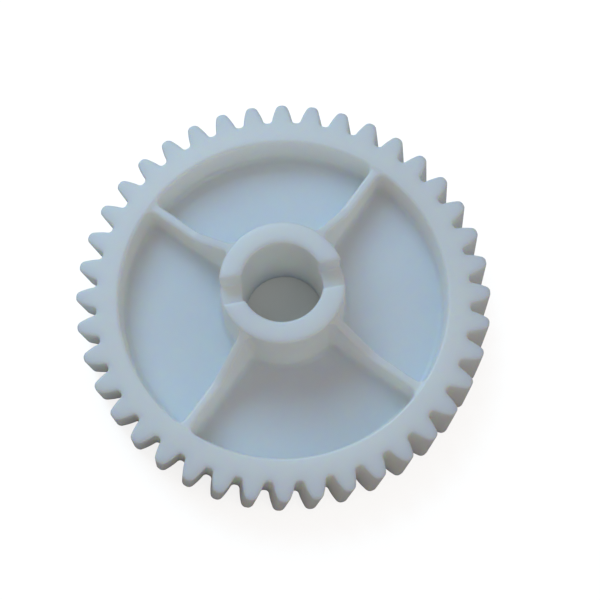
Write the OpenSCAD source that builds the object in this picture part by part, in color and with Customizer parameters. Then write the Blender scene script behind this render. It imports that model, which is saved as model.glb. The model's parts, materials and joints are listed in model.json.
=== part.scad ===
// Moulded plastic gear with a webbed, ribbed centre and a slotted hub.
// Millimetres. The origin is on the bore axis at the rear end of the hub, +Z
// points to the slotted end of the hub, and +X runs along the slot.

/* [Teeth] */
// Number of teeth
tooth_count = 40; // [36:4:44]
// Transverse module: pitch diameter divided by the number of teeth
tooth_module = 1.6; // [1.5:0.05:1.7]
// Transverse pressure angle in degrees
pressure_angle = 20; // [18:0.5:22]
// Right-hand helix angle at the pitch circle in degrees
helix_angle = 6.5; // [0:0.5:10]
// Extra thickness of each tooth, beyond half of the pitch
tooth_extra_t = 0.25; // [0:0.05:0.4]
// Width of the toothed rim along the axis
face_w = 10; // [8:0.5:14]
// Depth of the tooth below the pitch circle, in modules
dedendum = 1; // [0.95:0.05:1.25]
// Radius at the foot of each tooth
root_fillet = 0.45; // [0.2:0.05:0.6]
// Radius on the corners of each tooth tip
tip_round = 0.45; // [0.1:0.05:0.5]

/* [Rim and web] */
// Thickness of the rim under the teeth
rim_t = 3.65; // [2.5:0.05:5]
// Depth of the front recess, from the rim face down to the web
front_recess = 6.3; // [4:0.1:6.5]
// Depth of the rear recess, from the rim's rear face up to the web
rear_recess = 1.3; // [0.5:0.1:1.4]

/* [Hub] */
// Diameter of the shaft bore
bore_d = 13; // [8:0.1:14]
// Outside diameter of the hub
hub_d = 20; // [19:0.5:24]
// How far the hub stands out in front of the rim
hub_front = 7; // [5:0.5:9]
// How far the hub stands out behind the rim
hub_rear = 1; // [0.5:0.25:3]

/* [Cross-pin slot] */
// Width of the slot across the end of the hub
slot_w = 4.1; // [3:0.1:5]
// Depth of the slot
slot_depth = 4; // [2:0.25:5]

/* [Ribs] */
// Thickness of a rib where it stands on the web
rib_foot_t = 1.6; // [1.6:0.1:2.4]
// Thickness of a rib at the height of the hub's end
rib_crest_t = 1.4; // [1.2:0.1:1.6]
// How far the ribs lie below the face of the rim
rib_drop = 0.3; // [0:0.1:1]
// Radius at which a rib starts to climb to the hub
ramp_start_r = 17.6; // [15:0.2:20]
// How far below the hub's end the climbing ribs stop
ramp_drop = 0.6; // [0.2:0.1:2]

/* [Hidden] */

$fn = 96;
// Clearance past a surface, so that a cutter goes right through it
through = 1;
natural = "#d5dde2";

pitch_r = tooth_count * tooth_module / 2;
base_r = pitch_r * cos(pressure_angle);
tip_r = pitch_r + tooth_module;
root_r = pitch_r - dedendum * tooth_module;
fillet_centre_r = root_r + root_fillet;
half_pitch = 180 / tooth_count;
// Turn of the teeth from the rim's rear face to its front face
helix_turn = face_w * tan(helix_angle) / pitch_r * 180 / PI;
flank_steps = 4;
fillet_steps = 2;
tip_steps = 2;
helix_steps = 4;

rim_inner_r = root_r - rim_t;
rim_z0 = hub_rear;
rim_z1 = rim_z0 + face_w;
web_z0 = rim_z0 + rear_recess;
web_z1 = rim_z1 - front_recess;
bore_r = bore_d / 2;
hub_r = hub_d / 2;
hub_len = rim_z1 + hub_front;
slot_floor_z = hub_len - slot_depth;
rib_top_z = rim_z1 - rib_drop;
ramp_top_z = hub_len - ramp_drop;
ribs_at = [45, 135, 225, 315];

// Involute function, in degrees
function involute(angle) = tan(angle) * 180 / PI - angle;

// Half of the angle that a tooth covers at radius r
function half_tooth(r) =
  half_pitch / 2 + tooth_extra_t / pitch_r * 90 / PI
  + involute(pressure_angle) - involute(acos(min(1, base_r / r)));

function polar(r, angle) = [r * cos(angle), r * sin(angle)];

// One point of the fillet that joins the root circle (turn 90) to a flank (turn 0)
function fillet_point(centre_angle, turn) =
  let (x = fillet_centre_r - root_fillet * sin(turn), y = root_fillet * cos(turn))
  [norm([x, y]), centre_angle - atan2(y, x)];

// One point of the round that joins a flank (turn 0) to the tip circle (turn 90)
function tip_point(turn) =
  let (r = tip_r - tip_round * (1 - sin(turn)))
  [r, half_tooth(r) - tip_round * (1 - cos(turn)) / r * 180 / PI];

// Radius and half angle of the points on one side of a tooth, from root to tip
tooth_side = concat(
  let (centre_angle = half_tooth(fillet_centre_r) + asin(root_fillet / fillet_centre_r))
  [for (i = [0:fillet_steps]) fillet_point(centre_angle, 90 - i * 90 / fillet_steps)],
  let (first_r = fillet_centre_r + root_fillet, last_r = tip_r - tip_round)
  [for (i = [0:flank_steps - 1])
    let (r = first_r + i * (last_r - first_r) / flank_steps) [r, half_tooth(r)]],
  [for (i = [0:tip_steps]) tip_point(i * 90 / tip_steps)]
);

side_count = len(tooth_side);

function tooth_points(centre) = concat(
  [for (p = tooth_side) polar(p[0], centre - p[1])],
  [for (i = [side_count - 1:-1:0]) polar(tooth_side[i][0], centre + tooth_side[i][1])]
);

// The rim with its helical teeth; a tooth is centred on +X at the front face
module toothed_rim() {
  outline = [for (k = [0:tooth_count - 1]) each tooth_points(2 * half_pitch * k)];
  color(natural)
  difference() {
    translate([0, 0, rim_z0])
      rotate([0, 0, -helix_turn])
        linear_extrude(height = face_w, twist = -helix_turn, slices = helix_steps)
          polygon(outline);
    translate([0, 0, rim_z0 - through])
      cylinder(r = rim_inner_r, h = face_w + 2 * through);
  }
}

// The flat disc between the hub and the rim
module web_disc() {
  color(natural)
  difference() {
    translate([0, 0, web_z0])
      cylinder(r = rim_inner_r, h = web_z1 - web_z0);
    translate([0, 0, web_z0 - through])
      cylinder(r = hub_r, h = web_z1 - web_z0 + 2 * through);
  }
}

// A length of the hub's tube, from z0 to z1
module hub_tube(z0, z1) {
  difference() {
    translate([0, 0, z0])
      cylinder(r = hub_r, h = z1 - z0);
    translate([0, 0, z0 - through])
      cylinder(r = bore_r, h = z1 - z0 + 2 * through);
  }
}

// The hub from its rear end up to the floor of the slot
module hub_barrel() {
  color(natural)
    hub_tube(0, slot_floor_z);
}

// What stands on one side of the slot at the end of the hub
module drive_jaw(side) {
  reach = hub_r + through;
  color(natural)
  intersection() {
    hub_tube(slot_floor_z, hub_len);
    translate([-reach, side > 0 ? slot_w / 2 : -reach, slot_floor_z - through])
      cube([2 * reach, reach - slot_w / 2, slot_depth + 2 * through]);
  }
}

module drive_jaw_1() { drive_jaw(1); }
module drive_jaw_2() { drive_jaw(-1); }

// Side view of a rib: level just below the rim face, then climbing to the hub
module rib_outline() {
  inner_r = hub_r - through;
  // Slope of the ramp, carried on past the hub's wall
  ramp_slope = (ramp_top_z - rib_top_z) / (ramp_start_r - hub_r);
  polygon([
    [inner_r, web_z1],
    [rim_inner_r + through, web_z1],
    [rim_inner_r + through, rib_top_z],
    [ramp_start_r, rib_top_z],
    [inner_r, rib_top_z + ramp_slope * (ramp_start_r - inner_r)]
  ]);
}

// End view of a rib: thinner towards its crest, so that it leaves the mould
module rib_section() {
  polygon([
    [-rib_foot_t / 2, web_z1],
    [rib_foot_t / 2, web_z1],
    [rib_crest_t / 2, hub_len],
    [-rib_crest_t / 2, hub_len]
  ]);
}

// A rib between the hub's wall and the rim's inner wall
module rib(angle) {
  color(natural)
  rotate([0, 0, angle])
  difference() {
    intersection() {
      rotate([90, 0, 0])
        translate([0, 0, -rib_foot_t])
          linear_extrude(height = 2 * rib_foot_t) rib_outline();
      rotate([90, 0, 90])
        linear_extrude(height = rim_inner_r + through) rib_section();
      cylinder(r = rim_inner_r, h = hub_len);
    }
    cylinder(r = hub_r, h = hub_len + through);
  }
}

module rib_1() { rib(ribs_at[0]); }
module rib_2() { rib(ribs_at[1]); }
module rib_3() { rib(ribs_at[2]); }
module rib_4() { rib(ribs_at[3]); }

toothed_rim();
web_disc();
hub_barrel();
drive_jaw_1();
drive_jaw_2();
rib_1();
rib_2();
rib_3();
rib_4();
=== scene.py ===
"""A moulded plastic gear with a slotted hub: its looks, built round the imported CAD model.

The real gear is one moulding, so its skin is one continuous mesh. It is worked out in
millimetres, in the CAD model's own frame, and written in metres. The bore's axis is Z.
"""
import json
import math

import bmesh
import bpy
import numpy as np
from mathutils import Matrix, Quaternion, Vector


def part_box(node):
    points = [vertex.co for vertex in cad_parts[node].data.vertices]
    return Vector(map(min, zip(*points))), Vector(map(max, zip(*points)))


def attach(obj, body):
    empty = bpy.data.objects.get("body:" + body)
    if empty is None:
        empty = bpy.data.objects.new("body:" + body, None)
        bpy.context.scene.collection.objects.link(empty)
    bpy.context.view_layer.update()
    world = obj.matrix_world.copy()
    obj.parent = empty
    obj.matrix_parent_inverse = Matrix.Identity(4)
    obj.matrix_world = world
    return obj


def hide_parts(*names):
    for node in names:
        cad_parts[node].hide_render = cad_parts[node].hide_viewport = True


MM = 0.001
QUARTER = math.pi / 2

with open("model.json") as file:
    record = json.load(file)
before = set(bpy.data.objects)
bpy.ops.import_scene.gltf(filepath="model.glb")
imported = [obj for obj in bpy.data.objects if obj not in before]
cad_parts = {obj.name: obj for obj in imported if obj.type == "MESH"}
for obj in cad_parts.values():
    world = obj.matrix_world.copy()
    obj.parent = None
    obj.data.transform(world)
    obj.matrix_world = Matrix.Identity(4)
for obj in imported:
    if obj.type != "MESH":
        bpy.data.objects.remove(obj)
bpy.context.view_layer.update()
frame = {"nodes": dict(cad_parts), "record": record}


def box_mm(node):
    """Lowest and highest corner of a CAD node, in millimetres."""
    low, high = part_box(node)
    return np.array(low) / MM, np.array(high) / MM


# Sizes that the CAD model gives
rim_low, rim_high = box_mm("toothed_rim")
web_low, web_high = box_mm("web_disc")
barrel_low, barrel_high = box_mm("hub_barrel")
jaw_low, jaw_high = box_mm("drive_jaw_1")
mounts = {m["name"]: m for m in frame["record"]["mounts"]}
RIM_Z0, RIM_Z1 = rim_low[2], rim_high[2]
WEB_Z0, WEB_Z1 = web_low[2], web_high[2]
RIM_INNER_R = web_high[0]
HUB_R = barrel_high[0]
HUB_Z0, HUB_Z1 = barrel_low[2], jaw_high[2]
SLOT_Z = barrel_high[2]
SLOT_HALF = jaw_low[1]
BORE_R = mounts["shaft_bore"]["dims"]["r_mm"]

# Teeth, as in the CAD model but with every corner rounded
TEETH = 40
MODULE = 1.6
PRESSURE_ANGLE = math.radians(20)
HELIX_ANGLE = math.radians(6.5)
TOOTH_EXTRA = 0.25
ROOT_ROUND = 0.5
TIP_ROUND = 0.55
TOOTH_EDGE = 0.28
PITCH_R = TEETH * MODULE / 2
BASE_R = PITCH_R * math.cos(PRESSURE_ANGLE)
TIP_R = PITCH_R + MODULE
ROOT_R = PITCH_R - MODULE

# Ribs: half thickness at the web and at the hub's end, how far their tops lie below the rim's
# face and below the hub's end, and the ramp between the two
RIB_FOOT = 0.8
RIB_CREST = 0.7
RIB_DROP = 0.3
STEP_LENGTH = 0.6
RAMP_START_R = 17.6
RAMP_BLEND = 1.0
RAMP_DROP = 0.6
RIB_TOP_Z = RIM_Z1 - RIB_DROP
RAMP_TOP_Z = HUB_Z1 - RAMP_DROP

# Moulding radii and draft
FOOT_ROUND = 0.9
CORNER_ROUND = 1.2
TOP_EDGE = 0.4
HUB_EDGE = 0.35
RIM_DRAFT = math.tan(math.radians(1.5))
HUB_DRAFT = math.tan(math.radians(1))
# Width of the flat margin beside each rounded edge, which keeps flat faces shaded flat
FLAT_MARGIN = 0.15

# Points along each stretch of the mesh
ARC_STEPS = 6
EDGE_STEPS = 4
FLANK_STEPS = 7
BAND_STEPS = 12
RIM_ARC_STEPS = 28
WALL_STEPS = 4
RIB_STEPS = 4
ACROSS_STEPS = 3


class Skin:
    """Gathers grids of points into one mesh. Neighbouring grids share their border points."""

    def __init__(self):
        self.points = []
        self.faces = []
        self.count = 0

    def grid(self, rows, closed=False, skip=None):
        """Quads between rows of points; skip marks quads that are left out."""
        rows = np.asarray(rows, float)
        n_rows, n_cols = rows.shape[:2]
        index = np.arange(n_rows * n_cols).reshape(n_rows, n_cols) + self.count
        last = n_cols if closed else n_cols - 1
        for i in range(n_rows - 1):
            for j in range(last):
                if skip is None or not skip[i, j]:
                    k = (j + 1) % n_cols
                    self.faces.append((index[i, j], index[i, k], index[i + 1, k], index[i + 1, j]))
        self.points.append(rows.reshape(-1, 3))
        self.count += n_rows * n_cols

    def build(self):
        """A bmesh in metres, with shared points merged and collapsed quads gone."""
        bm = bmesh.new()
        verts = [bm.verts.new(p) for p in np.concatenate(self.points) * MM]
        for face in self.faces:
            bm.faces.new([verts[i] for i in face])
        merge_distance = 0.0005 * MM
        bmesh.ops.remove_doubles(bm, verts=bm.verts, dist=merge_distance)
        bmesh.ops.dissolve_degenerate(bm, edges=bm.edges, dist=merge_distance)
        return bm


def with_height(xy, z):
    """Points in the plane, lifted to height z."""
    xy = np.asarray(xy, float)
    return np.concatenate([xy, np.broadcast_to(np.reshape(z, (-1, 1)), (len(xy), 1))], 1)


def on_circle(r, angles):
    return np.stack([r * np.cos(angles), r * np.sin(angles)], 1)


def quarter_arc(steps):
    """Sines and versines of a quarter turn, from 0 to 1, for rounded edges."""
    turn = np.linspace(0, QUARTER, steps + 1)
    return list(zip(np.sin(turn), 1 - np.cos(turn)))


# --- Teeth -------------------------------------------------------------------------------

def involute(angle):
    return np.tan(angle) - angle


def half_tooth(r):
    """Half of the angle that a tooth covers at radius r."""
    at_pitch = math.pi / (2 * TEETH) + TOOTH_EXTRA / (2 * PITCH_R)
    return at_pitch + involute(PRESSURE_ANGLE) - involute(np.arccos(np.minimum(1, BASE_R / r)))


def tooth_outline():
    """Closed outline of the teeth at the front face, counter-clockwise from a gap's middle."""
    turn = np.linspace(0, QUARTER, ARC_STEPS)
    root = ROOT_R + ROOT_ROUND * (1 - np.cos(turn))
    root_angle = half_tooth(root) + ROOT_ROUND * (1 - np.sin(turn)) / root
    flank = np.linspace(root[-1], TIP_R - TIP_ROUND, FLANK_STEPS + 1)[1:-1]
    tip = TIP_R - TIP_ROUND * (1 - np.sin(turn))
    tip_angle = half_tooth(tip) - TIP_ROUND * (1 - np.cos(turn)) / tip
    side_r = np.concatenate([root, flank, tip])
    side_angle = np.concatenate([root_angle, half_tooth(flank), tip_angle])
    radius = np.concatenate([[ROOT_R], side_r, [TIP_R], side_r[::-1]])
    angle = np.concatenate([[-math.pi / TEETH], -side_angle, [0], side_angle[::-1]])
    centres = 2 * math.pi / TEETH * np.arange(TEETH)[:, None]
    return on_circle(np.tile(radius, TEETH), (centres + angle).ravel())


def inset(outline, distance):
    """A closed counter-clockwise outline, moved inwards."""
    along = np.roll(outline, -1, 0) - np.roll(outline, 1, 0)
    along /= np.linalg.norm(along, axis=1)[:, None]
    return outline + distance * np.stack([-along[:, 1], along[:, 0]], 1)


def turned(xy, angle):
    c, s = math.cos(angle), math.sin(angle)
    return xy @ np.array([[c, s], [-s, c]])


def add_teeth(skin):
    """The toothed band, from the rear face to the front face, with rounded end edges."""
    rear = [(TOOTH_EDGE + FLAT_MARGIN, RIM_Z0)]
    rear += [(TOOTH_EDGE * (1 - s), RIM_Z0 + TOOTH_EDGE * v) for s, v in quarter_arc(EDGE_STEPS)]
    front = [(shift, RIM_Z0 + RIM_Z1 - z) for shift, z in reversed(rear)]
    middle = np.linspace(RIM_Z0 + TOOTH_EDGE, RIM_Z1 - TOOTH_EDGE, BAND_STEPS + 1)[1:-1]
    outline = tooth_outline()
    rows = []
    for shift, z in rear + [(0, z) for z in middle] + front:
        turn = -(RIM_Z1 - z) * math.tan(HELIX_ANGLE) / PITCH_R
        rows.append(with_height(turned(inset(outline, shift), turn), z))
    skin.grid(rows, closed=True)


# --- Pockets between the ribs ------------------------------------------------------------
# A pocket is worked out in the frame of the rib beside it: u runs out along the rib and v
# across it into the pocket, whose middle lies at 45 degrees.

POCKET_MIDDLE = math.pi / 4
SLOT_TURN = math.asin(SLOT_HALF / HUB_R)
BORE_SLOT_TURN = math.asin(SLOT_HALF / BORE_R)
RIM_ARC = np.linspace(0, 1, RIM_ARC_STEPS)
CORNER_ARC = np.linspace(0, 1, 2 * ARC_STEPS - 2)
# Columns along a rib, closer together round the start of its ramp
RIB_U = np.concatenate([
    np.linspace(RIM_INNER_R - 2.35, RAMP_START_R + 1.6, 7),
    np.linspace(RAMP_START_R + 1.2, RAMP_START_R - 1.2, 9),
    np.linspace(RAMP_START_R - 1.7, HUB_R + 2.1, 8),
])
HUB_ARC = np.linspace(0, 1, 6)[1:]
SLOT_ARC = np.linspace(0, 1, 4)[1:]
# Columns in each stretch of half a pocket's outline, and the first column of each but the first
PARTS = [len(RIM_ARC), len(CORNER_ARC) - 1, len(RIB_U), len(CORNER_ARC), len(HUB_ARC),
         len(SLOT_ARC)]
BREAKS = np.cumsum(PARTS)[:-1]
RIM_CORNER_FIRST, RIB_FIRST, HUB_CORNER_FIRST, HUB_ARC_FIRST, SLOT_FIRST = BREAKS
HALF_COLUMNS = sum(PARTS)


def walls(z, out):
    """Rim radius, rib half thickness, hub radius and corner radius at height z, with the
    walls moved back by out."""
    rim = RIM_INNER_R - RIM_DRAFT * (RIM_Z1 - z) + out
    slope = (RIB_FOOT - RIB_CREST) / (HUB_Z1 - WEB_Z1)
    rib = RIB_FOOT - slope * (z - WEB_Z1) - out
    hub = HUB_R + HUB_DRAFT * np.maximum(0, SLOT_Z - z) - out
    return rim, rib, hub, CORNER_ROUND + out


def pocket_half(z, out):
    """Half of a pocket's outline, from the middle of the rim wall round to the middle of the
    hub wall, as points (u, v). z and out hold one value for each column."""
    z_parts, out_parts = np.split(z, BREAKS), np.split(out, BREAKS)
    points = []
    for part in range(len(PARTS)):
        rim, rib, hub, corner = walls(z_parts[part], out_parts[part])
        v = rib + corner
        rim_u = np.sqrt((rim - corner) ** 2 - v ** 2)
        hub_u = np.sqrt((hub + corner) ** 2 - v ** 2)
        rim_touch, hub_touch = np.arctan2(v, rim_u), np.arctan2(v, hub_u)
        slot_edge = POCKET_MIDDLE - SLOT_TURN
        if part == 0:
            turn = POCKET_MIDDLE + RIM_ARC * (rim_touch - POCKET_MIDDLE)
            points.append(on_circle(rim, turn))
        elif part == 1:
            turn = rim_touch - CORNER_ARC[1:] * (QUARTER + rim_touch)
            points.append(np.stack([rim_u, v], 1) + on_circle(corner, turn))
        elif part == 2:
            points.append(np.stack([RIB_U, rib], 1))
        elif part == 3:
            turn = -QUARTER - CORNER_ARC * (QUARTER - hub_touch)
            points.append(np.stack([hub_u, v], 1) + on_circle(corner, turn))
        elif part == 4:
            points.append(on_circle(hub, hub_touch + HUB_ARC * (slot_edge - hub_touch)))
        else:
            points.append(on_circle(hub, slot_edge + SLOT_ARC * SLOT_TURN))
    return np.concatenate(points)


def rim_step(r):
    """Height of the moulding's top where the rim's face steps down to a rib."""
    share = np.clip((RIM_INNER_R + TOP_EDGE - r) / STEP_LENGTH, 0, 1)
    return RIM_Z1 + (RIB_TOP_Z - RIM_Z1) * share ** 2 * (3 - 2 * share)


def ramp(u):
    """Height of a rib's top at distance u from the axis, with the kink blended."""
    slope = (RAMP_TOP_Z - RIB_TOP_Z) / (RAMP_START_R - HUB_R)
    x = RAMP_START_R - u
    blend = slope * (x + RAMP_BLEND) ** 2 / (4 * RAMP_BLEND)
    rise = np.where(x < -RAMP_BLEND, 0, np.where(x < RAMP_BLEND, blend, slope * x))
    return np.minimum(RIB_TOP_Z + rise, RAMP_TOP_Z)


def past_edge(edge):
    """How far back from a wall its rounded top edge and the flat margin beside it reach."""
    return edge * (1 + FLAT_MARGIN / TOP_EDGE)


def top_outline(top, edge):
    """Half of a pocket's outline on top of the walls, where the flat margin ends."""
    return pocket_half(top, past_edge(edge))


def wall_tops(slotted):
    """Height of the wall's top and radius of its top edge, for each column of a half."""
    top = np.full(HALF_COLUMNS, RIM_Z1)
    edge = np.full(HALF_COLUMNS, TOP_EDGE)
    edge[HUB_CORNER_FIRST:HUB_ARC_FIRST] *= 1 - CORNER_ARC
    edge[HUB_ARC_FIRST:] = 0
    u, v = top_outline(top, edge).T
    rim_corner, rib = slice(RIM_CORNER_FIRST, RIB_FIRST), slice(RIB_FIRST, HUB_ARC_FIRST)
    top[rim_corner] = rim_step(np.hypot(u, v)[rim_corner])
    top[rib] = ramp(u[rib])
    top[HUB_ARC_FIRST - 1:] = RAMP_TOP_Z
    if slotted:
        top[SLOT_FIRST:] = SLOT_Z
    return top, edge


def pocket_levels(top, edge):
    """Height and outward shift of each ring of a pocket, from its floor to its top edge."""
    here = np.ones(HALF_COLUMNS)
    levels = [(WEB_Z1 * here, -(FOOT_ROUND + FLAT_MARGIN) * here)]
    for s, v in quarter_arc(ARC_STEPS):
        levels.append(((WEB_Z1 + FOOT_ROUND * v) * here, -FOOT_ROUND * (1 - s) * here))
    foot = WEB_Z1 + FOOT_ROUND
    shoulder = np.minimum(top - edge, SLOT_Z)
    for part in np.linspace(0, 1, WALL_STEPS + 1)[1:]:
        levels.append((foot + part * (shoulder - foot), 0 * here))
    first_upper = len(levels) - 1
    for part in np.linspace(0, 1, WALL_STEPS + 1)[1:]:
        levels.append((shoulder + part * (top - edge - shoulder), 0 * here))
    for s, v in quarter_arc(EDGE_STEPS)[1:]:
        levels.append((top - edge + edge * s, edge * v))
    levels.append((top, past_edge(edge)))
    return levels, first_upper


def direction(angle):
    return np.array([math.cos(angle), math.sin(angle)])


def pocket_ring(quadrant, z, out):
    """A pocket's whole outline at one level, starting at the middle of its rim wall."""
    half = pocket_half(z, out)
    middle = quadrant * QUARTER
    upper, lower = direction(middle + POCKET_MIDDLE), direction(middle - POCKET_MIDDLE)
    first = half[:, :1] * upper + half[:, 1:] * lower
    second = half[:, :1] * lower + half[:, 1:] * upper
    return with_height(np.concatenate([first, second[-2:0:-1]]), np.concatenate([z, z[-2:0:-1]]))


def add_pocket(skin, quadrant):
    """Walls of one pocket. The two pockets on the X axis stop at the floor of the slot."""
    slotted = quadrant % 2 == 0
    levels, first_upper = pocket_levels(*wall_tops(slotted))
    rows = [pocket_ring(quadrant, z, out) for z, out in levels]
    skip = np.zeros((len(rows) - 1, len(rows[0])), bool)
    if slotted:
        skip[first_upper:, SLOT_FIRST - 1:2 * HALF_COLUMNS - SLOT_FIRST - 1] = True
    skin.grid(rows, closed=True, skip=skip)


def rib_end_offsets():
    """Where the columns of a rib's top stand across the rib, on the hub's wall."""
    z = np.full(HALF_COLUMNS, RAMP_TOP_Z)
    v = pocket_half(z, 0 * z)[HUB_ARC_FIRST - 1, 1]
    return np.linspace(-v, v, RIB_STEPS + 1)


def add_rib_top(skin, quadrant):
    """The top of the rib between this pocket and the next one, from the rim to the hub."""
    top, edge = wall_tops(False)
    stretch = slice(RIM_CORNER_FIRST - 1, HUB_ARC_FIRST)
    along = direction((quadrant + 0.5) * QUARTER)
    across = direction((quadrant + 1.5) * QUARTER)
    rows = []
    for (u, v), z in zip(top_outline(top, edge)[stretch], top[stretch]):
        s = np.linspace(-v, v, RIB_STEPS + 1)
        bowed = np.sqrt(u ** 2 + v ** 2 - s ** 2)
        rows.append(with_height(bowed[:, None] * along + s[:, None] * across, z))
    skin.grid(rows)


# --- Hub ---------------------------------------------------------------------------------

def hub_angles():
    """Angles of the mesh's columns round the hub, the same in each quadrant."""
    z = np.full(HALF_COLUMNS, RAMP_TOP_Z)
    u, v = pocket_half(z, 0 * z)[HUB_ARC_FIRST - 1:].T
    from_middle = POCKET_MIDDLE - np.arctan2(v, u)
    rib = POCKET_MIDDLE + np.arcsin(rib_end_offsets()[1:-1] / HUB_R)
    quarter = np.concatenate([from_middle[::-1], rib, QUARTER - from_middle[:-1]])
    return np.concatenate([quarter + q * QUARTER for q in range(4)])


def bore_angles(angles):
    """The same columns round the bore, where the slot covers a wider angle."""
    outer, inner = [], []
    for middle in (0, math.pi, 2 * math.pi):
        outer += [middle - SLOT_TURN, middle + SLOT_TURN]
        inner += [middle - BORE_SLOT_TURN, middle + BORE_SLOT_TURN]
    return np.interp(angles, outer, inner)


def across_hub(angles, z):
    """Rows of points from the hub's outer wall to the bore at height z."""
    outer, inner = on_circle(HUB_R, angles), on_circle(BORE_R, bore_angles(angles))
    shares = np.linspace(0, 1, ACROSS_STEPS + 1)
    return [with_height(outer + share * (inner - outer), z) for share in shares]


def add_hub_end(skin):
    """The slotted end of the hub, with sharp edges that round_hub_edges takes off."""
    angles = hub_angles()
    slot_levels = list(np.linspace(SLOT_Z, RAMP_TOP_Z, WALL_STEPS + 1)) + [HUB_Z1]
    tolerance = 1e-6
    for start in (0, math.pi):
        first, last = start + SLOT_TURN, start + math.pi - SLOT_TURN
        jaw = angles[(angles > first - tolerance) & (angles < last + tolerance)]
        skin.grid([with_height(on_circle(HUB_R, jaw), z) for z in (RAMP_TOP_Z, HUB_Z1)])
        skin.grid(across_hub(jaw, HUB_Z1))
        skin.grid([with_height(on_circle(BORE_R, bore_angles(jaw)), z) for z in slot_levels])
        for side in (jaw[:1], jaw[-1:]):
            skin.grid([np.concatenate(across_hub(side, z)) for z in slot_levels])
        centred = (angles - start + math.pi) % (2 * math.pi) - math.pi
        slot = np.sort(centred[np.abs(centred) < SLOT_TURN + tolerance]) + start
        skin.grid(across_hub(slot, SLOT_Z))


def rear_profile():
    """Radius and height of the turned rear side, from the bore out to the rim's rear face."""
    web_round = WEB_Z0 - RIM_Z0 - TOP_EDGE
    edge_arc, web_arc = quarter_arc(EDGE_STEPS)[1:], quarter_arc(ARC_STEPS)[1:]
    bore_end, hub_end = BORE_R + HUB_EDGE, HUB_R - HUB_EDGE
    edge_z, foot_z = HUB_Z0 + HUB_EDGE, WEB_Z0 - web_round
    foot_r, rim_foot_r = HUB_R + web_round, RIM_INNER_R - web_round

    profile = [(BORE_R, z) for z in np.linspace(SLOT_Z, edge_z, BAND_STEPS)]
    profile += [(BORE_R + HUB_EDGE * v, edge_z - HUB_EDGE * s) for s, v in edge_arc]
    profile += [(r, HUB_Z0) for r in np.linspace(bore_end, hub_end, ACROSS_STEPS + 2)[1:]]
    profile += [(hub_end + HUB_EDGE * s, HUB_Z0 + HUB_EDGE * v) for s, v in edge_arc]
    profile += [(HUB_R, z) for z in np.linspace(edge_z, foot_z, WALL_STEPS)[1:]]
    profile += [(HUB_R + web_round * v, foot_z + web_round * s) for s, v in web_arc]
    profile += [(r, WEB_Z0) for r in np.linspace(foot_r, rim_foot_r, BAND_STEPS)[1:]]
    profile += [(rim_foot_r + web_round * s, WEB_Z0 - web_round * v) for s, v in web_arc]
    profile += [(RIM_INNER_R + TOP_EDGE * v, RIM_Z0 + TOP_EDGE * (1 - s)) for s, v in edge_arc]
    profile.append((RIM_INNER_R + TOP_EDGE + FLAT_MARGIN, RIM_Z0))
    return profile


def add_bore_and_rear(skin):
    angles = bore_angles(hub_angles())
    skin.grid([with_height(on_circle(r, angles), z) for r, z in rear_profile()], closed=True)


def close_flat_faces(bm):
    """Fills the flat rim faces and pocket floors, whose borders are the only open edges."""
    tolerance = 0.001 * MM
    for z, has_hole in ((WEB_Z1, False), (RIM_Z0, True), (RIM_Z1, True)):
        border = [e for e in bm.edges if e.is_boundary
                  and all(abs(v.co.z - z * MM) < tolerance for v in e.verts)]
        if has_hole:
            bmesh.ops.triangle_fill(bm, use_beauty=True, edges=border, normal=(0, 0, 1))
        else:
            bmesh.ops.holes_fill(bm, edges=border)


def round_hub_edges(bm):
    """Rounds the edges of the hub's end and of the slot."""
    tolerance = 0.01
    least_turn = math.radians(50)

    def on_edge(edge):
        points = [v.co / MM for v in edge.verts]
        if edge.calc_face_angle(0) < least_turn:
            return False
        at_end = all(p.z > HUB_Z1 - tolerance for p in points)
        in_slot = all(abs(p.y) < SLOT_HALF + tolerance and p.z > SLOT_Z - tolerance
                      and p.xy.length < HUB_R + tolerance for p in points)
        return at_end or in_slot

    bmesh.ops.bevel(bm, geom=[e for e in bm.edges if on_edge(e)], offset=HUB_EDGE * MM,
                    offset_type="OFFSET", segments=EDGE_STEPS, profile=0.5, affect="EDGES",
                    clamp_overlap=False)


def gear_mesh():
    skin = Skin()
    add_teeth(skin)
    for quadrant in range(4):
        add_pocket(skin, quadrant)
        add_rib_top(skin, quadrant)
    add_hub_end(skin)
    add_bore_and_rear(skin)
    bm = skin.build()
    close_flat_faces(bm)
    bmesh.ops.recalc_face_normals(bm, faces=bm.faces)
    round_hub_edges(bm)
    bmesh.ops.recalc_face_normals(bm, faces=bm.faces)
    mesh = bpy.data.meshes.new("gear_moulding")
    bm.to_mesh(mesh)
    bm.free()
    mesh.shade_smooth()
    return mesh


# --- Materials ---------------------------------------------------------------------------

def new_material(name):
    material = bpy.data.materials.new(name)
    material.use_nodes = True
    nodes, links = material.node_tree.nodes, material.node_tree.links
    return material, nodes, links, nodes["Principled BSDF"]


def noise(nodes, links, place, per_metre, detail):
    """A 3-D noise that lies on the object's own coordinates."""
    texture = nodes.new("ShaderNodeTexNoise")
    texture.inputs["Scale"].default_value = per_metre
    texture.inputs["Detail"].default_value = detail
    links.new(place.outputs["Object"], texture.inputs["Vector"])
    return texture


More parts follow.
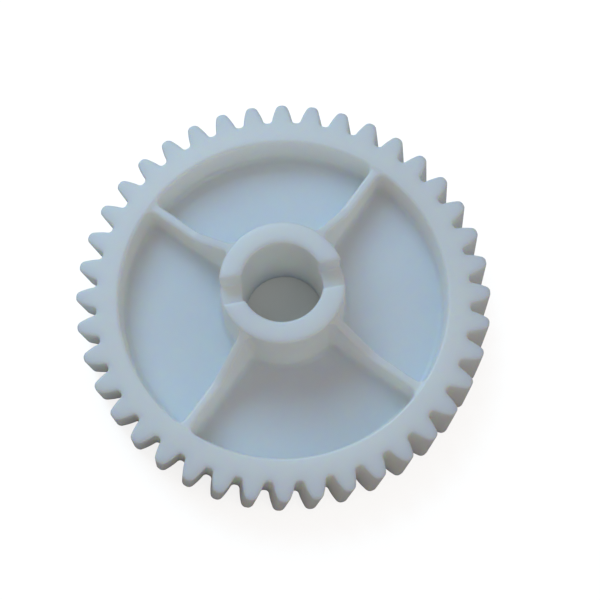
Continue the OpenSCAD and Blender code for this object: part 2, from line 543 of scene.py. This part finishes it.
def natural_nylon():
    """Undyed engineering plastic: milky, slightly translucent, satin as it left the mould."""
    material, nodes, links, shader = new_material("natural_nylon")
    place = nodes.new("ShaderNodeTexCoord")

    tint = nodes.new("ShaderNodeValToRGB")
    tint.color_ramp.elements[0].position = 0.3
    tint.color_ramp.elements[0].color = (0.925, 0.925, 0.905, 1)
    tint.color_ramp.elements[1].position = 0.7
    tint.color_ramp.elements[1].color = (0.96, 0.96, 0.94, 1)
    links.new(noise(nodes, links, place, 90, 3).outputs["Fac"], tint.inputs["Fac"])
    links.new(tint.outputs["Color"], shader.inputs["Base Color"])

    gloss = nodes.new("ShaderNodeMapRange")
    gloss.inputs["To Min"].default_value = 0.28
    gloss.inputs["To Max"].default_value = 0.42
    links.new(noise(nodes, links, place, 260, 4).outputs["Fac"], gloss.inputs["Value"])
    links.new(gloss.outputs["Result"], shader.inputs["Roughness"])

    shader.inputs["IOR"].default_value = 1.53
    shader.inputs["Subsurface Weight"].default_value = 1.0
    shader.inputs["Subsurface Radius"].default_value = (1.0, 0.76, 0.48)
    shader.inputs["Subsurface Scale"].default_value = 6 * MM
    shader.inputs["Subsurface Anisotropy"].default_value = 0.6

    waves = nodes.new("ShaderNodeBump")
    waves.inputs["Strength"].default_value = 1.0
    waves.inputs["Distance"].default_value = 0.03 * MM
    links.new(noise(nodes, links, place, 280, 2).outputs["Fac"], waves.inputs["Height"])
    grain = nodes.new("ShaderNodeBump")
    grain.inputs["Strength"].default_value = 1.0
    grain.inputs["Distance"].default_value = 0.006 * MM
    links.new(noise(nodes, links, place, 3500, 3).outputs["Fac"], grain.inputs["Height"])
    links.new(waves.outputs["Normal"], grain.inputs["Normal"])
    links.new(grain.outputs["Normal"], shader.inputs["Normal"])
    return material


def pale_floor():
    """A board that is white under the object and glows round it, like a backdrop lit from behind.
    The glow is painted light: it makes the grey board look brightly lit round the object and washes
    out the object's cast shadow there.
    """
    material, nodes, links, shader = new_material("pale_floor")
    shader.inputs["Roughness"].default_value = 0.9
    shader.inputs["Emission Color"].default_value = (1, 1, 1, 1)
    place = nodes.new("ShaderNodeTexCoord")
    from_axis = nodes.new("ShaderNodeVectorMath")
    from_axis.operation = "LENGTH"
    links.new(place.outputs["Object"], from_axis.inputs[0])

    outside = nodes.new("ShaderNodeMapRange")
    outside.inputs["From Min"].default_value = 0.7 * RIM_INNER_R * MM
    outside.inputs["From Max"].default_value = RIM_INNER_R * MM
    links.new(from_axis.outputs["Value"], outside.inputs["Value"])
    board = nodes.new("ShaderNodeValToRGB")
    board.color_ramp.elements[0].color = (1.0, 0.98, 0.93, 1)
    board.color_ramp.elements[1].color = (0.5, 0.48, 0.46, 1)
    links.new(outside.outputs["Result"], board.inputs["Fac"])
    links.new(board.outputs["Color"], shader.inputs["Base Color"])
    # Painted light: the board glows round the object, from none at 0.7 of the rim's inner radius to
    # full at that radius and beyond
    glow = nodes.new("ShaderNodeMath")
    glow.operation = "MULTIPLY"
    glow.inputs[1].default_value = 0.8
    links.new(outside.outputs["Result"], glow.inputs[0])
    links.new(glow.outputs["Value"], shader.inputs["Emission Strength"])
    return material


# --- Studio ------------------------------------------------------------------------------

def towards(azimuth, elevation):
    """Unit vector to a place round the object. Azimuth 0 is on the -Y side, 90 on +X."""
    a, e = math.radians(azimuth), math.radians(elevation)
    return Vector((math.sin(a) * math.cos(e), -math.cos(a) * math.cos(e), math.sin(e)))


def add_camera(target, distance, azimuth, elevation, roll, lens):
    """A camera that looks at target. Lengths are in millimetres, and roll is clockwise."""
    data = bpy.data.cameras.new("camera")
    data.lens = lens
    camera = bpy.data.objects.new("camera", data)
    back = towards(azimuth, elevation)
    camera.location = (Vector(target) + back * distance) * MM
    camera.rotation_mode = "QUATERNION"
    level = (-back).to_track_quat("-Z", "Y")
    camera.rotation_quaternion = Quaternion(back, -math.radians(roll)) @ level
    data.clip_start, data.clip_end = 0.01, 10
    bpy.context.scene.collection.objects.link(camera)
    bpy.context.scene.camera = camera


def add_area_light(name, azimuth, elevation, distance, size, watts, colour):
    """A soft square light that faces the object. Distance and size are in metres."""
    data = bpy.data.lights.new(name, "AREA")
    data.size = size
    data.energy = watts
    data.color = colour
    light = bpy.data.objects.new(name, data)
    back = towards(azimuth, elevation)
    light.location = back * distance
    light.rotation_mode = "QUATERNION"
    light.rotation_quaternion = (-back).to_track_quat("-Z", "Y")
    bpy.context.scene.collection.objects.link(light)


def add_floor(half_width):
    """A large flat floor just under the hub's rear end. half_width is in metres."""
    mesh = bpy.data.meshes.new("floor")
    corners = [(-1, -1), (1, -1), (1, 1), (-1, 1)]
    gap = 0.02
    z = (HUB_Z0 - gap) * MM
    mesh.from_pydata([(x * half_width, y * half_width, z) for x, y in corners], [], [(0, 1, 2, 3)])
    floor = bpy.data.objects.new("floor", mesh)
    floor.data.materials.append(pale_floor())
    bpy.context.scene.collection.objects.link(floor)
    # The board's own glow isn't meant to light the object
    lit_by_floor = bpy.data.collections.new("lit_by_floor")
    lit_by_floor.objects.link(floor)
    floor.light_linking.receiver_collection = lit_by_floor


def add_world(colour, strength):
    world = bpy.data.worlds.new("world")
    world.use_nodes = True
    background = world.node_tree.nodes["Background"]
    background.inputs["Color"].default_value = (*colour, 1)
    background.inputs["Strength"].default_value = strength
    bpy.context.scene.world = world


bpy.context.scene.view_settings.view_transform = "Standard"

add_camera(target=(2.55, -1.37, RIM_Z1), distance=212.3, azimuth=-7.93, elevation=73.18,
           roll=1.76, lens=78.7)
add_floor(half_width=3)
add_world(colour=(0.89, 0.83, 0.79), strength=0.255)
add_area_light("window", azimuth=200, elevation=50, distance=0.7, size=0.45, watts=2.45,
               colour=(0.46, 0.74, 0.96))
add_area_light("room", azimuth=40, elevation=52, distance=0.7, size=0.5, watts=0.52,
               colour=(1.0, 0.94, 0.91))

gear = bpy.data.objects.new("gear_moulding", gear_mesh())
gear.data.materials.append(natural_nylon())
bpy.context.scene.collection.objects.link(gear)
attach(gear, "root")
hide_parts(*sorted(frame["nodes"]))
